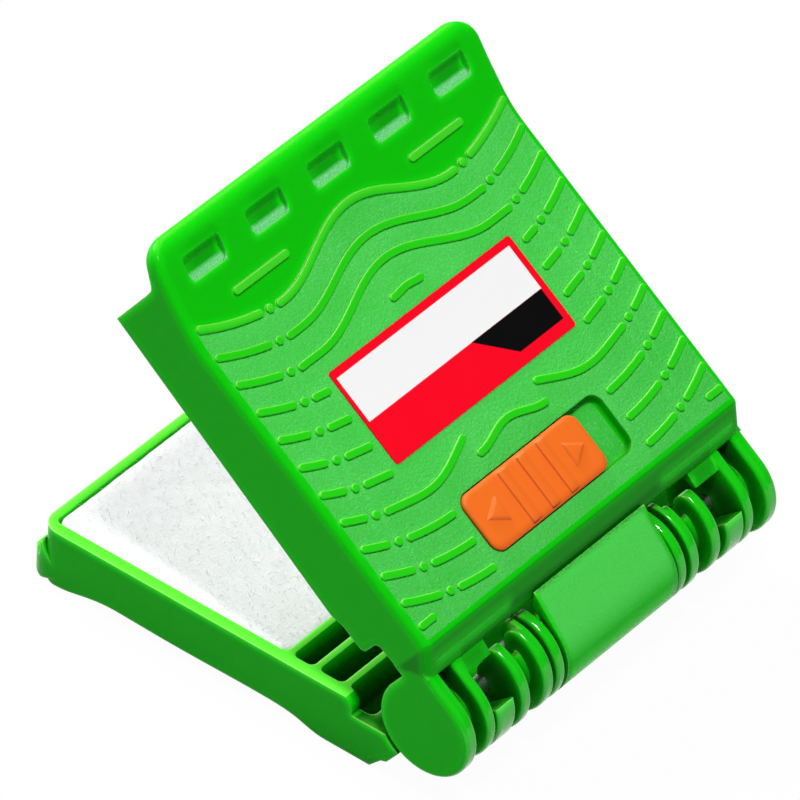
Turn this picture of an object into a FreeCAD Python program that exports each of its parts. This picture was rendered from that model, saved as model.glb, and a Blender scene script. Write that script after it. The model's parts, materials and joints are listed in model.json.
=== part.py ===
"""Spring-open cleaning clamp for optical fibres: two hinged half shells with felt pads.

Millimetres. +Z is up. The origin is the middle of the flat heel that the base stands on.
X runs along the hinge pin, the lips that open are at -Y and the hinge is at +Y.
The clamp is drawn open, as its two torsion springs hold it.

Side views are drawn about the hinge axis, as (y, z) pairs. The lid is drawn with its flat
top level, and is then turned open about the hinge axis.
"""
import FreeCAD, Part
import math
import os
from FreeCAD import Placement, Rotation, Vector

# ---- overall sizes ----
body_width = 50.0          # both shells, along the hinge
hinge_height = 8.4         # hinge axis above the ground
heel_setback = 9.2         # hinge axis behind the middle of the heel
lid_open_deg = 36.3        # level top of the lid above the base, at the open stop
lid_taper_deg = 2.5        # how far past level the lid turns before the rims meet
parting_drop = 1.4         # parting plane below the hinge axis
rim_gap = 0.10             # between the two rims when closed
overlap = 0.1              # joined bodies run into each other by this much
wall = 1.35                # side walls of both shells
front_wall = 1.0           # front walls of both shells

# ---- base shell ----
base_front = 49.0          # front wall, ahead of the hinge axis
base_lip = 1.8             # how far the lower lip stands ahead of the front wall
lip_curve = ((0.3, 0.35), (0.0, 1.4), (0.9, 3.0))   # behind the lip's nose, above the ground
lip_foot = 0.2             # its flat foot starts here, behind the front wall
lip_root = 3.0             # how far the lip reaches into the base
base_belly = 7.25          # underside between lip and heel, below the hinge axis
belly_run = 8.0            # length of the curves from heel and lip up to the underside
belly_curve = ((3.6, 0.75), (4.6, 0.35))   # end of the heel and lip: distance ahead, rise
belly_sag = 0.1            # bulge of the underside between those curves
base_floor = 5.9           # pocket floors below the hinge axis
base_corner = 2.2          # plan radius of the front corners
lip_corner = 3.0           # plan radius of the lower lip's corners
lip_depth = 4.4            # height of the lower lip
ledge_end = 4.4            # rear end of the lowered rim, ahead of the hinge axis
ledge_slope = 1.5          # slope at that end, equally far down and back
heel_back = (1.7, 1.65)    # rear corner of the underside: behind the rear wall, above ground
heel_chamfer = (0.7, 0.25) # its cut-off edge, forward and down
heel_length = 5.6          # flat heel, along Y
step_start = 9.7           # rim steps down here, ahead of the hinge axis
step_depth = 2.0           # how far it steps down
step_round = 0.75          # radius where it starts
rear_wall_back = 6.0       # outer face of the rear wall, ahead of the hinge axis
rear_wall = 1.2            # its thickness
pocket_corner = 0.7        # vertical corners of all pockets
rib_thickness = 0.75       # cross ribs
rib_backs = (17.5, 14.2, 10.4)   # rear faces of the cross ribs, ahead of the hinge axis

# ---- lid shell ----
lid_front = 50.0           # front wall, ahead of the hinge axis
lid_lip = 3.85             # how far the thumb lip stands ahead of the front wall
lid_top = 8.2              # flat top above the hinge axis
lip_rise = 2.8             # crest of the thumb lip above the flat top
ramp_start = 41.0          # where the top starts to rise, ahead of the hinge axis
ramp_curve = ((2.6, 0.22), (5.1, 0.9), (8.1, 1.9))   # ahead of that line, above the top
nose_curve = ((2.5, 0.12), (0.95, 0.1), (0.0, 0.85), (0.8, 1.45), (2.2, 1.8))   # behind nose, below crest
nose_foot = ((0.45, 2.6), (0.0, 4.2))   # ahead of the front wall, below the crest
lid_corner = 3.0           # plan radius of the lip corners
lid_roof = 1.6             # thickness of the top
bevel_top = 6.3            # rear end of the flat top, ahead of the hinge axis
bevel_depth = 2.7          # height of the rear bevel
lid_back = 3.6             # rear wall, ahead of the hinge axis
lid_back_wall = 1.2        # its thickness
lid_back_foot = 4.25       # lower edge of the rear wall above the hinge axis
rim_foot = 14.4            # rim rises here by a step, ahead of the hinge axis
rim_foot_slope = 1.6
rim_foot_step = 0.5
notch_front = 9.5          # rim notch ahead of the ears
notch_round = 0.7          # radius of its corners
notch_link = 2.6           # part of its top edge ahead of the ear's link
notch_top = 2.6            # its height above the hinge axis
lid_edge = 0.8             # rounding of the long edges and rear end of the top

# ---- raised pattern and slots of the lid ----
rib_width = 0.8
rib_height = 0.3
row_count = 11
row_first = 41.76          # front row, ahead of the hinge axis
row_pitch = 3.0            # first distance between rows
row_growth = 0.0245        # growth of that distance, per row squared
row_radius = 30.0          # every row is part of one arc, set in from the middle
row_arc_x = 11.3           # middle of that arc
dot_radius_line = 44.0     # the dots lie on one long arc
dot_widest = 20.05         # where that arc is widest
dot_widest_y = 21.4        # ahead of the hinge axis
dot_width = 0.9
dot_gap = 1.4              # from the dot to the ends of its two bars
row_edge_margin = 0.9      # outer ends of the bars to the side of the lid
swing_row = 7              # its inner bar runs on toward the middle
swing_start = 12.2         # from here, as a curve through the next points
swing_curve = ((5.9, 1.95), (7.6, 1.25), (9.6, 0.5))   # half distance across, drop
crest_bar = (2.1, 0.2, 2.0)   # short wave ahead of the label: half length, rise, gap
dip_bar = (5.1, 1.1, 2.1)      # wave behind the label: half length, rise, gap to the recess
end_bar = (1.7, 0.6)       # stub beside the bevel: length, ahead of the recess's rear
wave_depths = (3.85, 3.25, 3.55)
wave_half = 13.2
slot_count = 5
slot_pitch = 9.53
slot_length = 5.5
slot_width = 1.9
slot_line = 49.2           # slots, ahead of the hinge axis
slot_sink = 0.75           # floor of the slots below the ramp at their middle
slot_floor = 0.95          # flat rear part of a slot's floor; the rest curves up
slot_lead = (0.85, 0.72)   # end of that curve: ahead of the slot, above its surface
slot_corner = 0.8
front_bar_line = 45.1
front_bar_from = 9.9
front_bar_length = 7.5

# ---- label ----
label_width = 28.4
label_length = 11.2
label_front = 33.3         # front edge, ahead of the hinge axis
label_thickness = 0.12
label_corner = 0.4

# ---- slide button and its recess ----
recess_half = 11.1         # half length along X
recess_rear = 8.95         # ahead of the hinge axis
recess_width = 7.0
recess_depth = 1.3
recess_floor = 1.1         # material left under the recess
recess_corner = 1.5
recess_cove = 0.5          # between the recess's walls and its floor
button_length = 17.9
button_rise = 0.45         # top of the button above the lid
button_gap = 0.12          # to the recess, all round
button_corner = 1.3
stem_length = 7.0
stem_width = 2.6
stem_gap = 0.15
latch_thickness = 1.2
latch_overhang = 1.1       # latch plate beyond the stem, each way in Y
latch_reach = 1.9          # hook of the latch beyond its leg, toward -X
leg_width = 2.2
leg_thickness = 1.0
leg_gap = 0.45             # leg to the cross rib behind it when closed
hook_thickness = 0.85
floor_gap = 0.25           # hook to the pocket floor when closed
catch_gap = 0.2            # hook to the catch
catch_bar = 1.0            # thickness of the catch
button_seat_gap = 0.06     # under the cap
raised_root = 0.2          # raised features start this far below their surface
button_edge = 0.35
ridge_count = 3
ridge_pitch = 3.0
ridge_width = 0.65         # its level crest; one side is steep, the other a long slope
ridge_slope = 1.3
ridge_margin = 0.35
ridge_rise = 0.3
ridge_lean = 0.12          # lean of the steep side
arrow_margin = 1.3         # arrow head to the end of the button
arrow_length = 2.4
arrow_width = 2.9
arrow_rise = 0.25
arrow_edge = 0.2           # chamfer of the arrow heads

# ---- hinge ----
pin_diameter = 2.0
pin_gap = 0.05             # radial clearance in the moulded holes
pin_cover = 1.0            # material left outside the blind end of the pin
pin_end_gap = 0.1          # pin to the bottom of that blind hole
pin_recess = 0.4           # pin below the face of the open ear
pin_chamfer = 0.2
ear_radius = 5.5
ear_edge = 0.45            # rounding of the ears
ear_thickness = 1.7
ear_gap = 0.28             # base cut away around the ears
lid_fin_outer = 21.4       # second hinge plate of the lid, outer and inner face
lid_fin_inner = 20.1
lid_drum_radius = 3.2
barrel_radius = 5.3
barrel_half = 8.8          # smooth middle of the hinge cover
barrel_wall = 1.15
facet_deg = 41.3           # the barrel leaves its round here, as a flat
cover_foot_deg = -128.0    # lower end of the cover, where it meets the base
stop_gap = 0.15            # lid to barrel at the open stop
groove_depth = 1.9         # between the fins, below the barrel
groove_wall = 1.0
groove_top_deg = 55.0
rib_tab = (16.4, 1.7, 0.95, 0.65)   # tab behind the lid's rear wall: from x, depth, rise, lower rise
plate_root = 0.2           # hinge plates reach down to the notch's top plus this
fin_edge = 0.42            # rounding of the fins
housing_half = 19.8        # outer end of the fixed hinge cover
fin_stations = ((9.15, 10.45, 84.0), (11.1, 12.5, 70.0), (14.6, 16.0, 68.0))
step_fin = (11.1, 11.75, 86.0)   # inner part of the middle fin, which reaches further
low_block = (17.0, 19.8)   # cut-down block beside the lid's second hinge plate
block_outline = ((-2.6, -4.6), (-1.2, -1.3), (1.2, -1.3))   # its front and top, about the axis
web_front = 0.5            # front of the bearing webs, ahead of the hinge axis
web_head = ((-0.5, 1.9), (0.35, 3.3), 0.85)   # their front edge, then part of the outer radius
middle_web = 1.2           # bearing web inside the barrel

# ---- springs ----
wire_diameter = 0.6
coil_gap = 0.35            # coil to pin
coil_turns = 8
coil_opening = 0.03        # between turns
spring_inner = 8.3         # inner end of the coil
spring_clear = 0.12        # leg to the shell it pushes on
spring_rest_y = 8.0        # rest for the leg under the lid, ahead of the hinge axis
spring_rest_z = 4.6        # its lower face above the hinge axis
spring_rest_length = 1.2

# ---- pads ----
pad_gap = 0.25             # pad to the pocket walls
pad_corner = 1.4
felt_thickness = 2.0
felt_gap = 0.2             # between the two felts when closed

half = body_width / 2
axis_shift = Vector(0, heel_setback, hinge_height)


def vec(y, z, x=0.0):
    return Vector(x, y, z)


def wire_of(items):
    """Closed YZ outline from points, with ("arc", mid, end) or ("spline", points, t0, t1) pieces."""
    edges, here, start = [], None, None
    for item in items:
        if item[0] == "arc":
            edges.append(Part.Arc(vec(*here), vec(*item[1]), vec(*item[2])).toShape())
            here = item[2]
        elif item[0] == "spline":
            curve = Part.BSplineCurve()
            curve.interpolate(Points=[vec(*here)] + [vec(*p) for p in item[1]],
                              InitialTangent=vec(*item[2]), FinalTangent=vec(*item[3]))
            edges.append(curve.toShape())
            here = item[1][-1]
        else:
            if here is not None:
                edges.append(Part.makeLine(vec(*here), vec(*item)))
            here = item
        start = start or here
    if (vec(*here) - vec(*start)).Length > 1e-6:
        edges.append(Part.makeLine(vec(*here), vec(*start)))
    return Part.Wire(edges)


def across(items, x0, x1):
    """Extrude a YZ outline from x0 to x1."""
    face = Part.Face(wire_of(items))
    face.translate(Vector(x0, 0, 0))
    return face.extrude(Vector(x1 - x0, 0, 0))


def span(x0, x1, sign):
    return (x0, x1) if sign > 0 else (-x1, -x0)


def disc(radius, x0, x1):
    return Part.makeCylinder(radius, x1 - x0, Vector(x0, 0, 0), Vector(1, 0, 0))


def block(x0, x1, y0, y1, z0, z1):
    return Part.makeBox(x1 - x0, y1 - y0, z1 - z0, Vector(x0, y0, z0))


def rounded_block(x0, x1, y0, y1, z0, z1, radius):
    """Block with rounded vertical edges."""
    body = block(x0, x1, y0, y1, z0, z1)
    upright = [e for e in body.Edges if abs(e.tangentAt(e.FirstParameter).z) > 0.9]
    return body.makeFillet(radius, upright)


def rounded_disc(radius, x0, x1, rounding):
    """Disc about the hinge axis with both its rims rounded."""
    body = disc(radius, x0, x1)
    return body.makeFillet(rounding, [e for e in body.Edges if e.BoundBox.XLength < 0.01])


def polar(radius, degrees):
    return (radius * math.cos(math.radians(degrees)), radius * math.sin(math.radians(degrees)))


def turned(shape, degrees):
    """Turn about the hinge axis: positive closes the lid."""
    copy = shape.copy()
    copy.rotate(Vector(0, 0, 0), Vector(1, 0, 0), degrees)
    return copy


def parting_height(y):
    """Height of the closed parting plane in the lid's own frame."""
    tilt = math.radians(lid_taper_deg)
    return (-parting_drop - y * math.sin(tilt)) / math.cos(tilt)


# ---------------------------------------------------------------- base shell
heel_front = heel_setback + heel_length / 2
heel_rear = heel_setback - heel_length / 2
step_level = -(parting_drop + step_depth)
ground = -hinge_height
lip_nose = base_front + base_lip
pad_pocket_rear = rib_backs[0] + rib_thickness
belly_front, belly_rear = base_front - belly_run, heel_front + belly_run


def base_outline():
    """Side view: rim, step, rear corner, heel, belly and lower lip."""
    (heel_run, heel_rise), (foot_run, foot_rise) = belly_curve
    back_y, back_z = -rear_wall_back + heel_back[0], ground + heel_back[1]
    return [
        (-base_front, -parting_drop),
        (-step_start, -parting_drop),
        ("arc", (-step_start + step_round * 0.9, -parting_drop - step_round),
         (-step_start + step_round, step_level)),
        (-ledge_end, step_level),
        (-ledge_end + ledge_slope, step_level - ledge_slope),
        (back_y, back_z),
        (back_y - heel_chamfer[0], back_z - heel_chamfer[1]),
        (-heel_rear, ground),
        (-heel_front, ground),
        ("spline", [(-heel_front - heel_run, ground + heel_rise), (-belly_rear, -base_belly),
                    (-(belly_rear + belly_front) / 2, -base_belly - belly_sag),
                    (-belly_front + belly_run / 2, -base_belly), (-belly_front, -base_belly - belly_sag),
                    (-base_front + foot_run, ground + foot_rise), (-base_front + lip_foot, ground)],
         (-1, 0), (-1, 0)),
    ]


def lip_outline():
    """Side view of the lower lip, which stands ahead of the front wall."""
    round_nose = [(-lip_nose + back, ground + rise) for back, rise in lip_curve]
    return [
        (-base_front + lip_root, -base_belly),
        (-base_front + lip_foot, ground),
        ("spline", round_nose + [(-base_front, ground + lip_depth)], (-1, 0), (0, 1)),
    ]


def barrel_outline(inner, front_cut):
    """Hinge cover: an arc round the pin that leaves as a flat and ends at the open stop."""
    outer = barrel_radius
    turn = math.radians(facet_deg)
    facet = lambda y, r: (y, (r - y * math.cos(turn)) / math.sin(turn))
    return [
        facet(front_cut, outer),
        polar(outer, facet_deg),
        ("arc", polar(outer, -25), polar(outer, -90)),
        ("arc", polar(outer, -110), polar(outer, cover_foot_deg)),
        polar(inner, cover_foot_deg),
        ("arc", polar(inner, -25), polar(inner, facet_deg)),
        facet(front_cut, inner),
    ]


def rib_outline(outer, inner, top_deg):
    """C-shaped rib of the hinge cover with a rounded head."""
    middle = (outer + inner) / 2
    head = top_deg + math.degrees((outer - inner) / 2 / middle)
    return [
        polar(outer, top_deg),
        ("arc", polar(outer, -20), polar(outer, cover_foot_deg)),
        polar(inner, cover_foot_deg),
        ("arc", polar(inner, -20), polar(inner, top_deg)),
        ("arc", polar(middle, head), polar(outer, top_deg)),
    ]


def web_outline(outer, top_deg):
    """Bearing web: everything behind its front edge, below a rounded head."""
    corner, shoulder, reach = web_head
    return [
        (-web_front, -outer * reach),
        corner,
        ("arc", shoulder, polar(outer * reach, top_deg)),
        ("arc", polar(outer, top_deg - 22), polar(outer, top_deg - 40)),
        ("arc", polar(outer, -30), polar(outer, -100)),
    ]


def make_base():
    body = across(base_outline(), -half, half)
    body = body.common(rounded_block(-half, half, -base_front, base_front, ground, 0, base_corner))
    lip = across(lip_outline(), -half, half)
    body = body.fuse(lip.common(rounded_block(-half, half, -lip_nose, lip_nose, ground, 0, lip_corner)))
    inner = half - wall
    fronts = [base_front - front_wall] + list(rib_backs)
    backs = [b + rib_thickness for b in rib_backs] + [rear_wall_back + rear_wall]
    for front, back in zip(fronts, backs):
        body = body.cut(rounded_block(-inner, inner, -front, -back, -base_floor, 0, pocket_corner))

    # hinge cover
    groove_outer = barrel_radius - groove_depth
    groove_inner = groove_outer - groove_wall
    barrel_inner = barrel_radius - barrel_wall
    bevel_crease = turned(Part.Vertex(vec(-lid_back, lid_top - bevel_depth)), -lid_open_deg).Point
    stop_y = bevel_crease.y + stop_gap
    cover = across(barrel_outline(barrel_inner, stop_y), -barrel_half, barrel_half)
    floor_end = fin_stations[-1][1] - fin_edge
    for sign in (1, -1):
        a, b = span(barrel_half - overlap, floor_end, sign)
        cover = cover.fuse(across(rib_outline(groove_outer, groove_inner, groove_top_deg), a, b))
        for x0, x1, top_deg in fin_stations + (step_fin,):
            a, b = span(x0, x1, sign)
            rims = rounded_disc(barrel_radius, a, b, min(fin_edge, (x1 - x0) / 3))
            cover = cover.fuse(across(rib_outline(barrel_radius, groove_inner, top_deg), a, b).common(rims))
        a, b = span(*fin_stations[-1][:2], sign)
        web = across(web_outline(barrel_radius, fin_stations[-1][2]), a, b)
        cover = cover.fuse(web.common(rounded_disc(barrel_radius, a, b, fin_edge)))
        a, b = span(low_block[0], low_block[1], sign)
        low = list(block_outline) + [polar(barrel_radius, 22), ("arc", polar(barrel_radius, -30),
                                                                polar(barrel_radius, -100))]
        cover = cover.fuse(across(low, a, b).common(rounded_disc(barrel_radius, a, b, fin_edge)))
    cover = cover.fuse(across(web_outline(barrel_inner + overlap, fin_stations[-1][2]),
                              -middle_web / 2, middle_web / 2))
    heel_y, heel_z = -rear_wall_back + heel_back[0], ground + heel_back[1]
    foot = [(-rear_wall_back - rear_wall, step_level), (-ledge_end, step_level),
            polar(groove_inner, cover_foot_deg), polar(groove_inner, -110), polar(barrel_radius, -92),
            (heel_y + ledge_slope, -barrel_radius - overlap), (heel_y, heel_z),
            (-rear_wall_back - rear_wall, heel_z)]
    cover = cover.fuse(across(foot, -housing_half, housing_half))
    hole = disc(pin_diameter / 2 + pin_gap, -half, half)
    body = body.fuse(cover)
    body = body.cut(hole)

    # room for the ears and hinge plates of the lid
    for sign in (1, -1):
        a, b = span(housing_half, half + 1, sign)
        body = body.cut(disc(ear_radius + ear_gap, a, b))

    # catch for the latch, a bar across the middle pocket
    catch = block(catch_x0, catch_x1, -rib_backs[1] - overlap, -(rib_backs[2] + rib_thickness) + overlap,
                  catch_low, catch_low + catch_bar)
    body = body.fuse(catch)
    return body.removeSplitter()


# ---------------------------------------------------------------- slide, latch and catch levels
recess_level = lid_top - recess_depth
recess_under = recess_level - recess_floor
button_front = -(recess_rear + recess_width) + button_gap
button_rear = -recess_rear - button_gap
button_mid = (button_front + button_rear) / 2
button_x1 = recess_half - button_gap
button_x0 = button_x1 - button_length
slide_travel = 2 * (recess_half - button_gap) - button_length
stem_x1 = button_x0 + (button_length + stem_length) / 2
stem_x0 = stem_x1 - stem_length
latch_top = recess_under - stem_gap
catch_x1 = stem_x0 - slide_travel - catch_gap
catch_x0 = catch_x1 - latch_reach
catch_low = -base_floor + floor_gap + hook_thickness + catch_gap
leg_y1 = -rib_backs[2] - rib_thickness - leg_gap
leg_y0 = leg_y1 - leg_thickness
tilt_drop = math.tan(math.radians(lid_taper_deg)) * -leg_y1
hook_low = -base_floor + floor_gap + tilt_drop


def lid_top_curve(lift, below):
    """Side view of the lid's top with its ramp and thumb lip, raised by lift."""
    nose = -(lid_front + lid_lip)
    crest = lid_top + lip_rise
    spline = [(-ramp_start - ahead, lid_top + rise + lift) for ahead, rise in ramp_curve]
    spline += [(nose + back, crest - drop + lift) for back, drop in nose_curve[:2]]
    spline += [(nose - lift / 2, crest - nose_curve[2][1])]
    spline += [(nose + back, crest - drop) for back, drop in nose_curve[3:]]
    spline += [(-lid_front - ahead, crest - drop) for ahead, drop in nose_foot]
    return [
        (-lid_front, below),
        (-bevel_top, below),
        (-bevel_top, lid_top + lift),
        (-ramp_start, lid_top + lift),
        ("spline", spline, (-1, 0), (0, -1)),
    ]


def lid_outline():
    """Side view of the lid: rim, notch, rear wall, bevel, top, lip and front wall."""
    body = lid_top_curve(0.0, 0.0)
    rim = parting_height(-rim_foot) + rim_gap
    raised = rim + rim_foot_step
    near = notch_round * (1 - math.sqrt(0.5))
    return [
        (-lid_front, parting_height(-lid_front) + rim_gap),
        (-rim_foot, rim),
        (-rim_foot + rim_foot_slope, raised),
        (-notch_front - notch_round, raised),
        ("arc", (-notch_front - near, raised + near), (-notch_front, raised + notch_round)),
        (-notch_front, notch_top - notch_round),
        ("arc", (-notch_front + near, notch_top - near), (-notch_front + notch_round, notch_top)),
        (-lid_back - lid_back_wall, notch_top + plate_root),
        (-lid_back - lid_back_wall, lid_back_foot),
        (-lid_back, lid_back_foot),
        (-lid_back, lid_top - bevel_depth),
        (-bevel_top, lid_top),
    ] + body[3:]


def bar(points):
    """Flat rounded bar of the pattern along points (x, y), as an outline face."""
    path = [Vector(x, y, 0) for x, y in points]
    if len(path) == 1:
        return Part.Face(Part.Wire(Part.makeCircle(dot_width / 2, path[0])))
    sides = []
    for hand in (1, -1):
        row = []
        for i, here in enumerate(path):
            before, after = path[max(i - 1, 0)], path[min(i + 1, len(path) - 1)]
            run = (after - before).normalize()
            row.append(here + Vector(-run.y, run.x, 0) * (hand * rib_width / 2))
        sides.append(row)
    left, right = sides
    ahead = (path[-1] - path[-2]).normalize() * (rib_width / 2)
    behind = (path[0] - path[1]).normalize() * (rib_width / 2)

    def side(row):
        if len(row) == 2:
            return Part.makeLine(row[0], row[1])
        curve = Part.BSplineCurve()
        curve.interpolate(row)
        return curve.toShape()

    edges = [side(left), Part.Arc(left[-1], path[-1] + ahead, right[-1]).toShape(),
             side(right), Part.Arc(right[0], path[0] + behind, left[0]).toShape()]
    return Part.Face(Part.Wire(Part.__sortEdges__(edges)))


def sag(x):
    return row_radius - math.sqrt(row_radius ** 2 - (x - row_arc_x) ** 2)


def row_line(index):
    """Place of a row's dot: half distance across and distance ahead of the hinge axis."""
    y = -row_first + index * row_pitch + index ** 2 * row_growth
    drop = abs(y + dot_widest_y)
    x = dot_widest - dot_radius_line + math.sqrt(dot_radius_line ** 2 - drop ** 2)
    return x, y


def arc_points(x0, x1, dot_x, dot_y, count):
    steps = [x0 + (x1 - x0) * i / count for i in range(count + 1)]
    return [(x, dot_y + sag(dot_x) - sag(x)) for x in steps]


def pattern_bars():
    """All bars of the raised pattern for the +X side, and those that cross the middle."""
    sided, crossing = [], []
    outer = half - row_edge_margin - rib_width / 2
    label_side = label_width / 2 + dot_gap
    recess_side = recess_half + dot_gap
    for index in range(row_count):
        dot_x, dot_y = row_line(index)
        sided.append([(dot_x, dot_y)])
        sided.append(arc_points(dot_x + dot_gap, outer, dot_x, dot_y, 2))
        start = dot_x - dot_gap
        level = dot_y + sag(dot_x) - sag(start)
        if index < len(wave_depths):
            depth = wave_depths[index]
            wave = lambda x: level - depth * (1 + math.cos(math.pi * min(abs(x) / wave_half, 1))) / 2
            steps = [start * (1 - i / 8) for i in range(17)]
            crossing.append([(x, wave(x)) for x in steps])
        elif index < swing_row:
            sided.append(arc_points(label_side, start, dot_x, dot_y, 1))
        elif index == swing_row:
            swing = arc_points(swing_start, start, dot_x, dot_y, 2)
            low = swing[0][1]
            sided.append([(x, low - drop) for x, drop in swing_curve] + swing)
        else:
            sided.append(arc_points(recess_side, start, dot_x, dot_y, 2))
    stub = -recess_rear + end_bar[1]
    sided.append([(outer - end_bar[0], stub), (outer, stub)])
    sided.append([(front_bar_from, -front_bar_line), (front_bar_from + front_bar_length, -front_bar_line)])
    for (reach, rise, gap), edge in ((crest_bar, -label_front), (dip_bar, -(recess_rear + recess_width))):
        hump = lambda i: rise * (1 + math.cos(math.pi * i / 3)) / 2
        crossing.append([(reach * i / 3, edge - gap - hump(i)) for i in range(-3, 4)])
    return sided, crossing


def make_pattern():
    """Raised bars: their outlines as prisms, cut to one height above the lid's top."""
    sided, crossing = pattern_bars()
    faces = [bar(p) for p in crossing]
    for points in sided:
        faces += [bar(points), bar([(-x, y) for x, y in points])]
    skin = across(lid_top_curve(rib_height, lid_top - 2 * raised_root), -half, half)
    prisms = []
    for face in faces:
        face.translate(Vector(0, 0, lid_top - raised_root))
        prisms.append(face.extrude(Vector(0, 0, 2 * lip_rise)).common(skin))
    return prisms


def ramp_height(y, shape):
    """Height of the lid's top at a given y, measured on the solid."""
    probe = Part.makeLine(Vector(0, y, lid_top - lid_roof), Vector(0, y, lid_top + 2 * lip_rise))
    return probe.common(shape).BoundBox.ZMax


def slot_cutter(x, top):
    """Scoop: steep at the rear, a flat floor, then a curve up to the front."""
    rear, front = -slot_line + slot_width / 2, -slot_line - slot_width / 2
    floor = top - slot_sink
    lead_y, high = front - slot_lead[0], top + lip_rise
    outline = [(rear, floor), (rear, high), (lead_y, high), (lead_y, top + slot_lead[1]),
               ("spline", [(front, floor + slot_sink / 2), (rear - slot_floor, floor)], (1, -0.9), (1, -0.1))]
    x0, x1 = x - slot_length / 2, x + slot_length / 2
    return across(outline, x0, x1).common(rounded_block(x0, x1, lead_y, rear, floor, high, slot_corner))


def round_top(body):
    """Rounds the long edges of the lid's top, its bevel and ramp, and the two creases across."""
    chosen = []
    for edge in body.Edges:
        box = edge.BoundBox
        level = any(abs(box.ZMin - z) < 0.01 for z in (lid_top, lid_top - bevel_depth))
        on_top = box.YMax > -ramp_start - 0.01 and box.YLength > lid_edge
        if box.XLength < 0.01 and level and on_top:
            chosen.append(edge)
        if box.XLength > body_width - 0.01 and level and box.YMin > -bevel_top - 0.01:
            chosen.append(edge)
    return body.makeFillet(lid_edge, chosen)


def hinge_plate(a, b, radius, rounding):
    """Upright plate about the hinge axis whose level top runs back from the lid's rear wall."""
    front = -(lid_back + lid_back_wall)
    outline = [(front, notch_top + plate_root), (front, radius), (0, radius),
               ("arc", (radius, 0), (0, -radius)), ("arc", polar(radius, 225), (-radius, 0)),
               (-radius, notch_top + plate_root)]
    plate = across(outline, a, b)
    rims = [e for e in plate.Edges if e.BoundBox.XLength < 0.01 and e.BoundBox.YMax > -0.01]
    return plate.makeFillet(rounding, rims)


def make_lid():
    body = across(lid_outline(), -half, half)
    nose = lid_front + lid_lip
    plan = rounded_block(-half, half, -nose, nose, -hinge_height, lid_top + 2 * lip_rise, lid_corner)
    body = round_top(body.common(plan))
    inner = half - wall
    cavity_rear = -(lid_back + lid_back_wall)
    front_room = rounded_block(-inner, inner, -(lid_front - front_wall), -pad_pocket_rear,
                               -hinge_height, lid_top - lid_roof, pocket_corner)
    rear_room = block(-inner, inner, -rib_backs[0], cavity_rear,
                      -hinge_height, lid_top - lid_roof)
    solid_top = ramp_height(-slot_line, body)
    body = body.cut(front_room).cut(rear_room)

    # material under the recess, then the recess, its slot and the lip slots
    body = body.fuse(block(-recess_half - recess_floor, recess_half + recess_floor,
                           button_front - recess_floor, cavity_rear,
                           recess_under, lid_top - lid_roof + overlap))
    recess = rounded_block(-recess_half, recess_half, -(recess_rear + recess_width), -recess_rear,
                           recess_level, lid_top + 1, recess_corner)
    body = body.cut(recess.makeFillet(recess_cove, [e for e in recess.Edges
                                                    if e.BoundBox.ZMax < recess_level + 0.01]))
    body = body.cut(block(stem_x0 - slide_travel - stem_gap, stem_x1 + stem_gap,
                          button_mid - stem_width / 2 - stem_gap, button_mid + stem_width / 2 + stem_gap,
                          recess_under - 1, recess_level + 1))
    for index in range(slot_count):
        body = body.cut(slot_cutter((index - (slot_count - 1) / 2) * slot_pitch, solid_top))

    # hinge ears, second plates and the drum between them
    for sign in (1, -1):
        a, b = span(half - ear_thickness, half, sign)
        body = body.fuse(hinge_plate(a, b, ear_radius, ear_edge))
        link = [(-ear_radius, 0), (-ear_radius, notch_top), (-notch_front + notch_link, notch_top),
                (-notch_front + notch_link, ear_radius), (-lid_back, ear_radius), (-lid_back, 0)]
        a, b = span(half - wall, half, sign)
        body = body.fuse(across(link, a, b))
        a, b = span(lid_fin_inner, lid_fin_outer, sign)
        body = body.fuse(hinge_plate(a, b, barrel_radius, fin_edge))
        a, b = span(lid_fin_inner, half - ear_thickness + overlap, sign)
        drop = block(a, b, -lid_back - lid_back_wall, -lid_back, -pin_diameter / 2, lid_back_foot + overlap)
        body = body.fuse(disc(lid_drum_radius, a, b)).fuse(drop)
        a, b = span(rib_tab[0], lid_fin_inner + overlap, sign)
        tab_low, tab_rear = lid_back_foot + overlap, -lid_back + rib_tab[1]
        tab = [(-lid_back - overlap, tab_low), (-lid_back - overlap, lid_back_foot + rib_tab[2]),
               (tab_rear, lid_back_foot + rib_tab[3]), (tab_rear, tab_low)]
        body = body.fuse(across(tab, a, b))
        a, b = span(spring_inner - wire_diameter, spring_inner + 2 * wire_diameter, sign)
        front, rear = -spring_rest_y - spring_rest_length / 2, -spring_rest_y + spring_rest_length / 2
        body = body.fuse(block(a, b, front, rear, spring_rest_z, lid_top - lid_roof + overlap))
    hole = pin_diameter / 2 + pin_gap
    body = body.cut(disc(hole, -half - 1, half - pin_cover))
    return body.multiFuse(make_pattern()).removeSplitter()


# ---------------------------------------------------------------- springs
coil_radius = pin_diameter / 2 + coil_gap + wire_diameter / 2
coil_pitch = wire_diameter + coil_opening


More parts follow.
